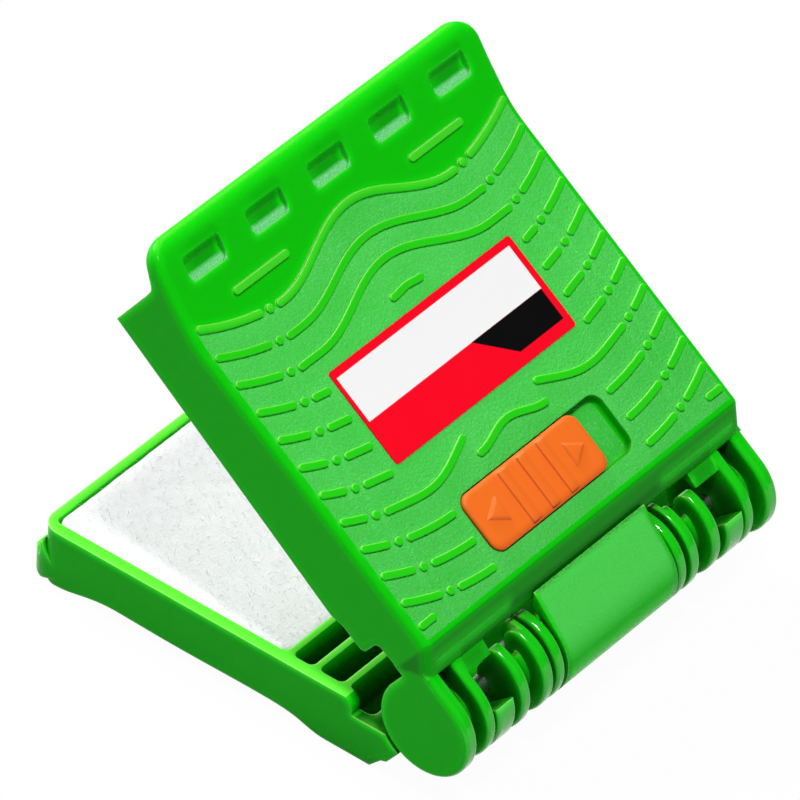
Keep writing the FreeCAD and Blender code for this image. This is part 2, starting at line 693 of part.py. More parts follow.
def make_spring(sign):
    """One wound wire: a coil round the pin with a leg on the base and a leg under the lid."""
    lid_rest = vec(-spring_rest_y, spring_rest_z - wire_diameter / 2 - spring_clear)
    lid_rest = turned(Part.Vertex(lid_rest), -lid_open_deg).Point
    base_rest = vec(-rear_wall_back - rear_wall * 0.8, step_level + wire_diameter / 2 + spring_clear)
    swing = [math.degrees(math.acos(coil_radius / p.Length)) for p in (lid_rest, base_rest)]
    toward = [math.degrees(math.atan2(p.z, p.y)) for p in (lid_rest, base_rest)]
    start = toward[0] + swing[0]
    turns = coil_turns + (toward[1] - swing[1] - start) / 360
    coil = Part.makeHelix(coil_pitch, coil_pitch * turns, coil_radius)
    coil.Placement = Placement(Vector(), Rotation(Vector(1, 1, 1), 120))
    coil.rotate(Vector(), Vector(1, 0, 0), start)
    coil.translate(Vector(spring_inner + wire_diameter / 2, 0, 0))
    edges = coil.Edges
    first, last = edges[0], edges[-1]
    p0, p1 = first.valueAt(first.FirstParameter), last.valueAt(last.LastParameter)
    t0, t1 = first.tangentAt(first.FirstParameter), last.tangentAt(last.LastParameter)
    reach = [math.sqrt(p.Length ** 2 - coil_radius ** 2) for p in (lid_rest, base_rest)]
    lead = Part.makeLine(p0 - t0 * reach[0], p0)
    path = Part.Wire([lead] + edges + [Part.makeLine(p1, p1 + t1 * reach[1])])
    section = Part.Wire(Part.makeCircle(wire_diameter / 2, p0 - t0 * reach[0], t0))
    spring = path.makePipeShell([section], True, False)
    return spring if sign > 0 else spring.mirror(Vector(0, 0, 0), Vector(1, 0, 0))


# ---------------------------------------------------------------- pads
felt_level = -parting_drop - felt_gap / 2


def felt_block(front, low):
    return rounded_block(-half + wall + pad_gap, half - wall - pad_gap, -front + pad_gap,
                         -pad_pocket_rear - pad_gap / 2, low, low + felt_thickness, pad_corner)


def make_lower_felt():
    return felt_block(base_front - front_wall, felt_level - felt_thickness)


def make_upper_felt():
    """Drawn closed on the lower felt, then turned into the lid's own frame."""
    return turned(felt_block(lid_front - front_wall, felt_level + felt_gap), -lid_taper_deg)


def make_lower_sponge():
    return rounded_block(-half + wall + pad_gap, half - wall - pad_gap, -base_front + front_wall + pad_gap,
                         -pad_pocket_rear - pad_gap / 2, -base_floor, felt_level - felt_thickness, pad_corner)


def make_upper_sponge():
    """Wedge between the lid's roof and the slanted upper felt."""
    tilt = math.radians(lid_taper_deg)
    back = felt_level + felt_gap + felt_thickness
    front_y, rear_y = -lid_front + front_wall + pad_gap, -pad_pocket_rear - pad_gap / 2
    low = lambda y: (back - y * math.sin(tilt)) / math.cos(tilt)
    outline = [(front_y, low(front_y)), (rear_y, low(rear_y)), (rear_y, lid_top - lid_roof),
               (front_y, lid_top - lid_roof)]
    wedge = across(outline, -half + wall + pad_gap, half - wall - pad_gap)
    return wedge.common(rounded_block(-half + wall + pad_gap, half - wall - pad_gap, front_y, rear_y,
                                      -lid_top, lid_top, pad_corner))


# ---------------------------------------------------------------- other pieces
def make_pin():
    length = 2 * half - pin_cover - pin_end_gap - pin_recess
    pin = Part.makeCylinder(pin_diameter / 2, length, Vector(-half + pin_recess, 0, 0), Vector(1, 0, 0))
    ends = [e for e in pin.Edges if e.BoundBox.XLength < 0.01]
    return pin.makeChamfer(pin_chamfer, ends)


def make_button():
    """Cap in the recess with grip ridges and two arrow heads, on a stem through the lid."""
    top = lid_top + button_rise
    seat = recess_level + button_seat_gap
    cap = rounded_block(button_x0, button_x1, button_front, button_rear, seat, top, button_corner)
    cap = cap.makeFillet(button_edge, [e for e in cap.Edges if e.BoundBox.ZMin > top - 0.01])
    cap = cap.makeChamfer(recess_cove, [e for e in cap.Edges if e.BoundBox.ZMax < seat + 0.01])
    middle = (button_x0 + button_x1) / 2
    for index in range(ridge_count):
        x = middle + (index - (ridge_count - 1) / 2) * ridge_pitch + ridge_width / 2
        crest, foot = x - ridge_width, x - ridge_width - ridge_slope
        points = [Vector(x + ridge_lean, 0, top - raised_root), Vector(x, 0, top + ridge_rise),
                  Vector(crest, 0, top + ridge_rise), Vector(foot, 0, top - raised_root)]
        face = Part.Face(Part.makePolygon(points + points[:1]))
        face.translate(Vector(0, button_front + ridge_margin, 0))
        cap = cap.fuse(face.extrude(Vector(0, button_rear - button_front - 2 * ridge_margin, 0)))
    for hand in (1, -1):
        tip = middle + hand * (button_length / 2 - arrow_margin)
        foot = tip - hand * arrow_length
        low = top - raised_root
        points = [Vector(tip, button_mid, low), Vector(foot, button_mid - arrow_width / 2, low),
                  Vector(foot, button_mid + arrow_width / 2, low)]
        head = Part.Face(Part.makePolygon(points + points[:1]))
        head = head.extrude(Vector(0, 0, raised_root + arrow_rise))
        rim = [e for e in head.Edges if e.BoundBox.ZMin > top + arrow_rise - 0.01]
        cap = cap.fuse(head.makeChamfer(arrow_edge, rim))
    stem = block(stem_x0, stem_x1, button_mid - stem_width / 2, button_mid + stem_width / 2,
                 latch_top, seat + overlap)
    return cap.fuse(stem).removeSplitter()


def make_latch():
    """Plate under the lid that holds the button, with a leg and hook for the base's catch."""
    plate = rounded_block(stem_x0 - latch_overhang / 2, stem_x1 + latch_overhang / 2,
                          button_mid - stem_width / 2 - latch_overhang,
                          button_mid + stem_width / 2 + latch_overhang,
                          latch_top - latch_thickness, latch_top, latch_overhang / 2)
    leg = block(stem_x0, stem_x0 + leg_width, leg_y0, leg_y1, hook_low, latch_top - latch_thickness + overlap)
    hook = block(stem_x0 - latch_reach, stem_x0 + leg_width, leg_y0, leg_y1, hook_low,
                 hook_low + hook_thickness)
    return plate.fuse(leg).fuse(hook).removeSplitter()


def make_label():
    return rounded_block(-label_width / 2, label_width / 2, -label_front, -label_front + label_length,
                         lid_top, lid_top + label_thickness, label_corner)


def main():
    os.makedirs("parts", exist_ok=True)
    on_base = {
        "base_shell": make_base(),
        "hinge_pin": make_pin(),
        "torsion_spring_left": make_spring(1),
        "torsion_spring_right": make_spring(-1),
        "lower_sponge": make_lower_sponge(),
        "lower_felt_pad": make_lower_felt(),
    }
    on_lid = {
        "lid_shell": make_lid(),
        "upper_sponge": make_upper_sponge(),
        "upper_felt_pad": make_upper_felt(),
        "slide_button": make_button(),
        "latch_plate": make_latch(),
        "label": make_label(),
    }
    shapes = dict(on_base)
    shapes.update({name: turned(shape, -lid_open_deg) for name, shape in on_lid.items()})
    for name, shape in shapes.items():
        shape.translate(axis_shift)
        shape.exportStep("parts/" + name + ".step")


if __name__ == "__main__":
    main()
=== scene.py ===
"""Looks of the optical fibre cleaning clamp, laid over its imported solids.

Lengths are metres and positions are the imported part's own. The finishes measure in
millimetres about the hinge axis: the base's with the base as it stands, the lid's and the
label's with the lid's flat top level.
"""
import json
import math
from collections import namedtuple

import bmesh
import bpy
from bpy.props import FloatProperty, FloatVectorProperty, IntProperty, PointerProperty
from bpy.types import Operator, Panel, PropertyGroup
from mathutils import Matrix, Vector, noise


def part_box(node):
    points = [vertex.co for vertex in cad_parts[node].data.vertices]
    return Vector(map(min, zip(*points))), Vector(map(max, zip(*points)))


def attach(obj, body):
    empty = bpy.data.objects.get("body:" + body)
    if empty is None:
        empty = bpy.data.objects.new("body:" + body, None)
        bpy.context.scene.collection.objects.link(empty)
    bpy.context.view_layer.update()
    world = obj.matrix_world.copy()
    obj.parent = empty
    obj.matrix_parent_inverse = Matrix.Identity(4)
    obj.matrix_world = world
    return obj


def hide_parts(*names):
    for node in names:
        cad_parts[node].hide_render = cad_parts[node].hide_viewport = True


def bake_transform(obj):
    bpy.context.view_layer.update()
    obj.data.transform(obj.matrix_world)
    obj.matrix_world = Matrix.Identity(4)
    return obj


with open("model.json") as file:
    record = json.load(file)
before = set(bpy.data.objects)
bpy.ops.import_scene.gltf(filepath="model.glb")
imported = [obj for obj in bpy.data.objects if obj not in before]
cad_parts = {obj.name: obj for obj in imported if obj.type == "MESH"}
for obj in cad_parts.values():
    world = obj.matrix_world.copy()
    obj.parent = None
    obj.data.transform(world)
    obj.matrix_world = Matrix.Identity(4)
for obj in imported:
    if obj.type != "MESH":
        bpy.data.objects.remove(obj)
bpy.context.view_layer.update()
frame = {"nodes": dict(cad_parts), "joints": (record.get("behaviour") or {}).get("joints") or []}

bl_info = {
    "name": "Fibre cleaning clamp",
    "version": (1, 0, 0),
    "blender": (4, 5, 0),
    "location": "3D View > Sidebar > Clamp",
    "description": "Finishes and soft parts of a spring-open cleaning clamp for optical fibres",
    "category": "Object",
}

MM = 0.001
HINGE = next(j for j in frame["joints"] if j["name"] == "lid_hinge")
HINGE_AT = Vector(HINGE["pos_m"])
CLOSING = math.radians(HINGE["range_deg"][1])
PAINTED_LIGHT_SIDE = Vector((0.25, -0.45, 0.86)).normalized()    # painted highlights and painted shade are laid as if lit from here


# ------------------------------------------------------------------ shader maths
class Socket:
    """A node's output that arithmetic acts on: each operator adds its Math node."""

    def __init__(self, finish, link):
        self.finish, self.link = finish, link

    def math(self, operation, *others):
        """This socket through one Math node, with its other values."""
        values = dict(enumerate((self, *others)))
        return self.finish.add("ShaderNodeMath", {"operation": operation}, values)[0]

    def __add__(self, other):
        return self.math("ADD", other)

    def __sub__(self, other):
        return self.math("SUBTRACT", other)

    def __rsub__(self, other):
        return self.finish.add("ShaderNodeMath", {"operation": "SUBTRACT"}, {0: other, 1: self})[0]

    def __mul__(self, other):
        return self.math("MULTIPLY", other)

    def __truediv__(self, other):
        return self.math("DIVIDE", other)

    def __abs__(self):
        return self.math("ABSOLUTE")

    def __gt__(self, other):
        return self.math("GREATER_THAN", other)

    def __lt__(self, other):
        return self.math("LESS_THAN", other)

    __radd__ = __add__
    __rmul__ = __mul__

    def ramp(self, low, high):
        """0 below low, 1 above high and straight between; low may be the larger."""
        return ((self - low) / (high - low)).math("MINIMUM", 1.0).math("MAXIMUM", 0.0)

    def between(self, low, high, soft):
        """1 from low to high and 0 outside, each end blurred over the length soft."""
        half = soft / 2
        return self.ramp(low - half, low + half) * self.ramp(high + half, high - half)


def rgba(colour):
    """A colour socket's four numbers from a colour's three."""
    return (colour[0], colour[1], colour[2], 1.0)


def new_node(tree, kind, settings=None, sockets=None):
    """Any node of a tree: its settings come first, then the values or links of its sockets."""
    node = tree.nodes.new(kind)
    for key, value in (settings or {}).items():
        setattr(node, key, value)
    for key, value in (sockets or {}).items():
        if isinstance(value, Socket):
            value = value.link
        if isinstance(value, bpy.types.NodeSocket):
            tree.links.new(value, node.inputs[key])
        else:
            node.inputs[key].default_value = value
    return node


class Finish:
    """One procedural material, built from sockets that do arithmetic."""

    def __init__(self, name):
        self.material = bpy.data.materials.new(name)
        self.material.use_nodes = True
        self.tree = self.material.node_tree
        self.tree.nodes.clear()

    def add(self, kind, settings=None, sockets=None):
        """Any node, as the list of its outputs that are on."""
        node = new_node(self.tree, kind, settings, sockets)
        return [Socket(self, out) for out in node.outputs if out.enabled]

    def place(self, turn=0.0, about=(0.0, 0.0, 0.0)):
        """Object coordinates in millimetres about a point, turned round X; and their x, y, z."""
        of_object = self.add("ShaderNodeTexCoord")[3]
        shift = Matrix.Rotation(turn, 3, "X") @ Vector(about)
        spot = self.add("ShaderNodeMapping", {"vector_type": "POINT"},
                        {"Vector": of_object, "Location": tuple(-shift / MM),
                         "Rotation": (turn, 0, 0), "Scale": (1 / MM, 1 / MM, 1 / MM)})[0]
        return [spot] + self.add("ShaderNodeSeparateXYZ", None, {0: spot})

    def stretched(self, spot, scale, turn=0.0):
        """A spot turned round Z and drawn out, for marks that run one way."""
        return self.add("ShaderNodeMapping", {"vector_type": "POINT"},
                        {"Vector": spot, "Rotation": (0, 0, turn), "Scale": scale})[0]

    def normal(self):
        """The surface's own normal."""
        return self.add("ShaderNodeNewGeometry")[1]

    def along(self, first, second):
        """Dot product of two directions."""
        return self.add("ShaderNodeVectorMath", {"operation": "DOT_PRODUCT"},
                        {0: first, 1: second})[0]

    def facing(self, direction, normal=None):
        """Cosine between a normal, the surface's own if none is given, and a direction of the part."""
        turned = self.add("ShaderNodeVectorTransform",
                          {"vector_type": "NORMAL", "convert_from": "WORLD", "convert_to": "OBJECT"},
                          {0: normal or self.normal()})[0]
        return self.along(turned, tuple(direction))

    def noise(self, spot, scale, detail=3.0, roughness=0.55):
        """Cloudy noise from 0 to 1."""
        return self.add("ShaderNodeTexNoise", {"noise_dimensions": "3D"},
                        {"Vector": spot, "Scale": scale, "Detail": detail,
                         "Roughness": roughness})[0]

    def paint(self, colour, coats):
        """Lay colours over a colour, each through its mask. A colour is a socket or three numbers.

        Sockets 6 and 7 of a Mix node are its two colours, as 4 and 5 are its two vectors.
        """
        for mask, coat in coats:
            under, over = (c if isinstance(c, Socket) else rgba(c) for c in (colour, coat))
            colour = self.add("ShaderNodeMix", {"data_type": "RGBA", "clamp_factor": True},
                              {0: mask, 6: under, 7: over})[0]
        return colour

    def blend_normals(self, factor, first, second):
        """A normal part of the way from one to another."""
        return self.add("ShaderNodeMix", {"data_type": "VECTOR"},
                        {0: factor, 4: first, 5: second})[0]

    def bump(self, height, strength=1.0, normal=None):
        """Normal of a relief whose height is in millimetres, laid on another normal if given."""
        sockets = {"Strength": strength, "Distance": MM, "Height": height}
        if normal:
            sockets["Normal"] = normal
        return self.add("ShaderNodeBump", None, sockets)[0]

    def edge(self, radius):
        """Normal softened at edges, and nearness to an edge: 1 on a square one, 0 a radius away."""
        soft = self.add("ShaderNodeBevel", {"samples": 6}, {"Radius": radius})[0]
        turn = self.along(soft, self.normal()).math("MINIMUM", 1.0).math("ARCCOSINE")
        return soft, turn / math.radians(45)

    def open_sky(self, distance):
        """How little a point is hidden by its surroundings: 0 deep in a gap, 1 in the open."""
        return self.add("ShaderNodeAmbientOcclusion", {"samples": 6}, {"Distance": distance})[1]

    def surface(self, sockets):
        """The material, with a Principled surface."""
        return self.output(self.add("ShaderNodeBsdfPrincipled", None, sockets)[0])

    def output(self, shader):
        """The material, with a shader for its surface."""
        self.add("ShaderNodeOutputMaterial", None, {"Surface": shader})
        return self.material


# ------------------------------------------------------------------ properties
def shade(name, description, default):
    """Property for a colour."""
    return FloatVectorProperty(name=name, description=description, subtype="COLOR", size=3,
                               min=0, max=1, default=default)


class ClampPlastic(PropertyGroup):
    """Colours of the mouldings, with the painted highlights, glow and shade laid on them."""
    green: shade("Green", "Smooth moulded green", (0.005, 0.54, 0.004))
    # Painted highlight: a lighter copy of the green, laid on raised bars, rim tops and pocket walls.
    bright: shade("Lit green", "Raised bars and rims", (0.10, 0.74, 0.035))
    # Painted glow: edges turned from the light and the barrel's lower round, lit as if light came
    # through.
    glow: shade("Painted edge glow", "Thin moulded edges, where light gets through", (0.006, 0.92, 0.005))
    # Painted highlight along edges that face the light, and on the bars' walls.
    glint: shade("Edge glint", "Painted highlight along sharp edges", (0.27, 1.0, 0.11))
    # The grain's own colour, painted paler as well for the sheen of the grain.
    grained: shade("Grained green", "Spark-eroded top of the lid", (0.075, 0.66, 0.085))
    shine: shade("Edge shine", "Brightest line of edges in the light", (0.62, 1.0, 0.45))
    # Painted highlight: pale sparkle on the grain, the slots' floors and their end walls.
    pale_highlight: shade("Painted sparkle", "Painted sparkle on the grain and slots", (0.37, 0.84, 0.56))
    # Painted shade: gaps, flat sides, the lid's rear, the slots' front part and edges turned from the
    # light.
    deep: shade("Painted shade green", "Gaps and edges turned from the light", (0.002, 0.12, 0.003))
    orange: shade("Orange", "Slide button", (0.89, 0.168, 0.018))
    # Painted highlight and painted shade on the button's edges.
    orange_glint: shade("Orange glint", "Lit edges of the button", (1.0, 0.36, 0.12))
    orange_shadowed: shade("Orange shade", "Edges turned from the light", (0.45, 0.045, 0.005))
    grain_size: FloatProperty(name="Grain", description="Size of the spark-eroded grain",
                              unit="LENGTH", default=0.27 * MM)
    lid_open: FloatProperty(name="Lid open", description="Level top of the lid above the base",
                            subtype="ANGLE", default=math.radians(36.3))


class ClampLabel(PropertyGroup):
    """Printed fields of the label."""
    red: shade("Red", "Border and lower field", (0.95, 0.002, 0.016))
    white: shade("White", "Long bare field", (0.89, 0.89, 0.89))
    black: shade("Black", "Small slanted field", (0.003, 0.003, 0.0035))


class ClampHinge(PropertyGroup):
    """Metal of the hinge."""
    pin: shade("Pin", "Ground steel of the pin", (0.92, 0.92, 0.93))
    wire: shade("Wire", "Drawn steel of the springs", (0.6, 0.6, 0.62))
    leg: FloatProperty(name="Leg", description="End of a spring that doesn't twist",
                       unit="LENGTH", default=0.75 * MM)


class ClampPads(PropertyGroup):
    """Felt wiping pads and the foam behind them."""
    white: shade("Felt", "Colour of the felt", (0.93, 0.935, 0.94))
    foam: shade("Foam", "Colour of the foam", (0.72, 0.73, 0.72))
    edge: FloatProperty(name="Edge", description="Softness of the felt's edges", unit="LENGTH",
                        default=0.4 * MM)
    corner: FloatProperty(name="Corner", description="Radius of the felt's corners",
                          unit="LENGTH", default=1.3 * MM)
    swell: FloatProperty(name="Swell", description="Unevenness of the felt's faces",
                         unit="LENGTH", default=0.10 * MM)
    spread: FloatProperty(name="Spread", description="Felt pressed out toward its pocket's walls",
                          unit="LENGTH", default=0.2 * MM)
    nap_length: FloatProperty(name="Nap", description="Length of the loose fibres",
                              unit="LENGTH", default=0.55 * MM)
    nap_thickness: FloatProperty(name="Nap thickness", description="Radius of the loose fibres",
                                 unit="LENGTH", default=0.018 * MM)
    nap_count: IntProperty(name="Nap density", description="Loose fibres per square centimetre",
                           default=260)
    seed: IntProperty(name="Seed", description="Seed of the scattered fibres", default=4)


class ClampStage(PropertyGroup):
    """Camera, floor and lamps."""
    aim: FloatVectorProperty(name="Aim", description="Point in the middle of the view",
                             subtype="TRANSLATION", size=3, default=(0.00146, -0.01333, 0.02296))
    azimuth: FloatProperty(name="Azimuth", subtype="ANGLE", description="Camera's place round Z",
                           default=math.radians(126.88))
    elevation: FloatProperty(name="Elevation", subtype="ANGLE", description="Camera above level",
                             default=math.radians(40.32))
    roll: FloatProperty(name="Roll", subtype="ANGLE", description="Camera's tilt about its axis",
                        default=math.radians(2.9))
    distance: FloatProperty(name="Distance", unit="LENGTH", description="Camera to aim",
                            default=1.083)
    lens: FloatProperty(name="Lens", description="Focal length in millimetres", default=492.8)
    key: FloatProperty(name="Key", description="Strength of the lamps", default=0.62)
    fill: FloatProperty(name="Fill", description="Strength of the even light", default=0.13)


# ------------------------------------------------------------------ finishes
# Places on the mouldings, in millimetres about the hinge axis: x to the side, y back and z up.
# An edge is the place where its mask begins and the place where it is full. A span is the low
# and the high end of an area.
LID_TOP = 8.2                       # height of the lid's flat top
SWEEP_FROM, SWEEP = -41.0, 0.0345   # ahead of here it rises by the distance squared times this
FIELD_SIDE = (24.15, 24.05)         # edge of the grained field at the sides,
FIELD_FRONT = (-0.1, 0.25)          # from its first raised row,
FIELD_REAR = (-6.85, -6.95)         # at the rear
FIELD_LEVEL = (8.0, 8.1)            # and in height
FIELD_DARKENING = (-28.0, -7.0)     # painted shade: a little darker from here to here
BARS_TOP = (0.06, 0.16)             # edge of a raised bar's top, over the swept top,
BARS_WALL = (0.03, 0.1)             # and of its wall
BARS_FRONT = (-46.2, -45.9)         # edge of the area with bars ahead
BARS_FOOT = (7.0, 7.2)              # and below
SLOT_PITCH = 9.53                   # from one of the lip's slots to the next
SLOT_FLOOR = (-49.15, -48.2)        # span of a slot's floor,
SLOT_LIT = (-51.0, -48.0)           # of its lit end
SLOT_HOLLOW = (-52.5, -47.5)        # and of the whole hollow
SLOT_DIM = (-52.3, -50.6)           # edges of its shaded part, ahead
SLOT_DIM_REAR = (-48.9, -49.3)      # and behind
SLOTS_SIDE = (23.0, 22.9)           # edge of the row of slots
HOLLOWS_SIDE = (23.2, 22.5)         # and of their hollows
LIP_BACK = (-1.8, -1.4)             # edge behind the lip's front face, over the swept top
RECESS = (-16.5, -7.5)              # span of the floor that the button slides over
RECESS_LEVEL = (5.6, 7.8)           # and of its height
LID_REAR = (-6.7, -6.3)             # edge of the lid's bevelled rear end
LID_REAR_ROUND = (6.5, 7.0)         # and from the axis, beyond the ears
LID_UNDER = (-5.0, -4.6)            # edge of the lid's end under that bevel,
LID_UNDER_SIDE = (20.0, 19.8)       # between the ears
LID_UNDER_ROUND = (9.0, 8.0)        # and from the axis
LID_EARS = (6.3, 5.9)               # edge of the ears' polished rims, from the axis
LID_GAPS_SIDE = (22.9, 22.6)        # edge of the hinge's gaps in the lid, at the sides
BASE_FINS = (6.1, 5.7)              # edge of the fins' polished rims, from the axis
BASE_FINS_SIDE = (8.9, 9.1)         # and beside the barrel
BASE_GAPS = (9.0, 20.5)             # span of the hinge's gaps in the base, to the side
GAP_DEPTH = (4.7, 3.0)              # edge of the gaps' insides, from the axis
BARREL_LEAN = math.radians(41.3)    # the barrel's upper flat leans back by this
BARREL_SIDE = (8.9, 8.5)            # edge of the barrel
BARREL_ROUND = (4.4, 4.7)           # edge of its skin, from the axis
BARREL_FLAT = (4.3, 5.28)           # edge of the flat, square to it,
BARREL_FLAT_SIDE = (8.75, 8.2)      # and at the sides
BARREL_LOWER = (4.3, 3.2)           # edge of the round below the flat, square to the flat
BASE_REAR = (-8.6, -8.3)            # edge of the base's hinge end
BASE_FLOOR = (-2.8, -3.0)           # and of its floor in height
BASE_TOP = (-1.55, -1.25)           # span of the rim's height
BASE_TOP_REAR = (-8.5, -8.7)        # edge of the rim behind
POCKET_LEVEL = (-3.4, -1.8)         # edge of the pad pocket's walls in height,
POCKET_REAR = (-9.5, -10.5)         # behind
POCKET_SIDE = (24.4, 24.0)          # and at the sides

PaintedEdgeLight = namedtuple("PaintedEdgeLight", "glow glint deep shine")


def green_shades(plastic):
    """The green mouldings' colours of painted glow, highlight and shade on their edges."""
    return PaintedEdgeLight(plastic.glow, plastic.glint, plastic.deep, plastic.shine)


def axis_distance(y, z):
    """Distance of a spot from the hinge axis."""
    return (y * y + z * z).math("SQRT")


def pattern_front(x):
    """Front edge of the lid's grained field at a socket x: the line of its first raised row.

    It is a wave in the middle, straight beside that, and an arc towards either side.
    """
    line, wave_half, wave_rise = -41.48, 13.2, 3.85
    arc_from, arc_centre, arc_radius = 13.96, 11.3, 30.0
    side = abs(x)
    across = side.math("MAXIMUM", arc_from) - arc_centre
    sag = arc_radius - (arc_radius ** 2 - across * across).math("SQRT")
    wave = ((side / wave_half).math("MINIMUM", 1.0) * math.pi).math("COSINE") + 1.0
    return line - sag - wave * (wave_rise / 2)


def moulded(f, colour, shades, grained, relief, calm=0.0, round_off=0.0, gloss=0.0):
    """Shared end of the plastic finishes: painted edge light, painted gap shade, relief, gloss.

    Edges get a painted glow and painted highlights, or painted shade where they turn from the light,
    and gaps get painted shade. calm holds back the painted shade, round_off widens the soft edges,
    gloss polishes the face.
    """
    wide_radius, fine_radius, gap_reach = 1.6 * MM, 0.3 * MM, 7 * MM
    wide, wide_edge = f.edge(wide_radius)
    fine, fine_edge = f.edge(fine_radius)
    smooth, shaded = 1.0 - grained, 1.0 - calm
    wide_lit, fine_lit = f.facing(PAINTED_LIGHT_SIDE, wide), f.facing(PAINTED_LIGHT_SIDE, fine)
    away = f.facing(PAINTED_LIGHT_SIDE).ramp(0.75, 0.35)
    gap = f.open_sky(gap_reach).ramp(0.62, 0.12)
    # Painted glow and shade on edges turned from the light, painted highlights on lit ones, painted
    # shade in gaps.
    colour = f.paint(colour, (
        (wide_edge.ramp(0.05, 0.8) * smooth * away * 0.9, shades.glow),
        (wide_edge.ramp(0.1, 0.6) * smooth * wide_lit.ramp(0.35, -0.1) * shaded * 0.55, shades.deep),
        (wide_edge.ramp(0.2, 0.8) * smooth * wide_lit.ramp(0.8, 0.96) * 0.7, shades.glint),
        (fine_edge.ramp(0.15, 0.8) * smooth * fine_lit.ramp(0.3, 0.85) * 0.9, shades.glint),
        (fine_edge.ramp(0.4, 0.9) * smooth * fine_lit.ramp(0.8, 0.97) * 0.75, shades.shine),
        (gap * shaded, shades.deep)))
    soft = f.blend_normals(0.6, f.normal(), fine)
    rounded = f.blend_normals(round_off, soft, wide)
    return f.surface({"Base Color": colour, "Roughness": 0.24 + grained * 0.16,
                      "Normal": f.bump(relief, normal=rounded),
                      "IOR": 1.46, "Specular IOR Level": 0.05,
                      "Coat Weight": (fine_edge.ramp(0.1, 0.5) * 0.7).math("MAXIMUM", gloss),
                      "Coat Roughness": 0.16})


def green_lid(plastic):
    """Lid: grained flat top, smooth sweep and sides, raised bars painted lighter as a highlight."""
    f = Finish("green_lid")
    spot, x, y, z = f.place(plastic.lid_open, HINGE_AT)
    side, reach = abs(x), axis_distance(y, z)
    up = f.facing(Matrix.Rotation(-plastic.lid_open, 3, "X") @ Vector((0, 0, 1)))
    level = up > 0.9
    ahead = (SWEEP_FROM - y).math("MAXIMUM", 0.0)
    over = z - LID_TOP - ahead * ahead * SWEEP

    # The grained field and its raised bars.
    inside = side.ramp(*FIELD_SIDE)
    field = (y - pattern_front(x)).ramp(*FIELD_FRONT) * y.ramp(*FIELD_REAR) * \
        z.ramp(*FIELD_LEVEL) * inside
    barred = y.ramp(*BARS_FRONT)
    bars = over.ramp(*BARS_TOP) * barred
    walls = over.ramp(*BARS_WALL) * barred * (up < 0.6) * z.ramp(*BARS_FOOT) * inside

    # The lip's slots: floor, whole hollow, part painted in shade and end walls painted as lit.
    # across is in pitches.
    across = (x / SLOT_PITCH + 0.5).math("FRACT") - 0.5
    column = across.ramp(0.285, 0.22) * across.ramp(-0.285, -0.265) * side.ramp(*SLOTS_SIDE)
    slots = column * y.between(*SLOT_FLOOR, 0.4) * level
    dish = abs(across).ramp(0.35, 0.25) * side.ramp(*HOLLOWS_SIDE) * over.ramp(*LIP_BACK)
    dim = dish * y.ramp(*SLOT_DIM) * y.ramp(*SLOT_DIM_REAR) * across.ramp(0.32, 0.05)
    lit_slot_ends = dish * y.between(*SLOT_LIT, 0.5) * f.facing((1, 0, 0)).ramp(0.3, 0.7)
    hollows = dish * y.between(*SLOT_HOLLOW, 0.5)

    # The floor that the button slides over, the flat sides and the hinge end. The flat sides, the
    # rear bevel, the end under it and the hinge's gaps are painted darker as shade.
    sunk = z.between(*RECESS_LEVEL, 0.2) * y.between(*RECESS, 0.2) * level
    flank = abs(f.facing((1, 0, 0))).ramp(0.7, 0.95)
    rear = y.ramp(*LID_REAR) * (up < 0.95) * reach.ramp(*LID_REAR_ROUND)
    under = side.ramp(*LID_UNDER_SIDE) * y.ramp(*LID_UNDER) * reach.ramp(*LID_UNDER_ROUND)
    gaps = reach.ramp(*GAP_DEPTH) * side.ramp(*LID_GAPS_SIDE)

    grained = (field * over.ramp(0.2, 0.1) * level + slots + sunk * 0.7).math("MINIMUM", 1.0)
    grain = f.noise(spot, MM / plastic.grain_size, 2.0, 0.6)
    sparkle = f.noise(spot, MM / plastic.grain_size * 1.15, 2.0, 0.6).ramp(0.5, 0.72)
    cloud = f.noise(spot, 0.12, 3.0, 0.5).ramp(0.3, 0.7)
    colour = f.paint(plastic.green, (
        # The grained field's colour, paler as a painted sheen too.
        (grained * (0.75 + cloud * 0.25), plastic.grained),
        # Painted sparkle on the grain.
        (sparkle * grained * (0.12 + cloud * 0.2), plastic.pale_highlight),
        # The slots' floors painted pale as lit, with painted sparkle.
        (slots * (0.3 + sparkle * 0.5), plastic.pale_highlight),
        # The slots' front part painted darker as shade.
        (dim * 0.5, plastic.deep),
        # The flat sides painted darker as shade.
        (flank * 0.18, plastic.deep),
        # The slots' end walls painted pale as lit.
        (lit_slot_ends, plastic.pale_highlight),
        # Raised bars painted lighter as highlight.
        (bars * (0.6 - field * 0.42), plastic.bright),
        # The bars' walls painted with a highlight.
        (walls * 0.9, plastic.glint),
        # The rear bevel painted darker as shade.
        (rear * 0.62, plastic.deep),
        # The field painted a little darker toward the rear, as shade.
        (y.ramp(*FIELD_DARKENING) * grained * 0.14, plastic.deep),
        # The end under the bevel painted darker as shade.
        (under * 0.75, plastic.deep),
        # The hinge's gaps painted darker as shade.
        (gaps * 0.85, plastic.deep)))
    return moulded(f, colour, green_shades(plastic), grained, (grain - 0.5) * grained * 0.2,
                   calm=(bars * 0.8).math("MAXIMUM", hollows * 0.8),
                   gloss=reach.ramp(*LID_EARS) * (1.0 - flank) * 0.8)


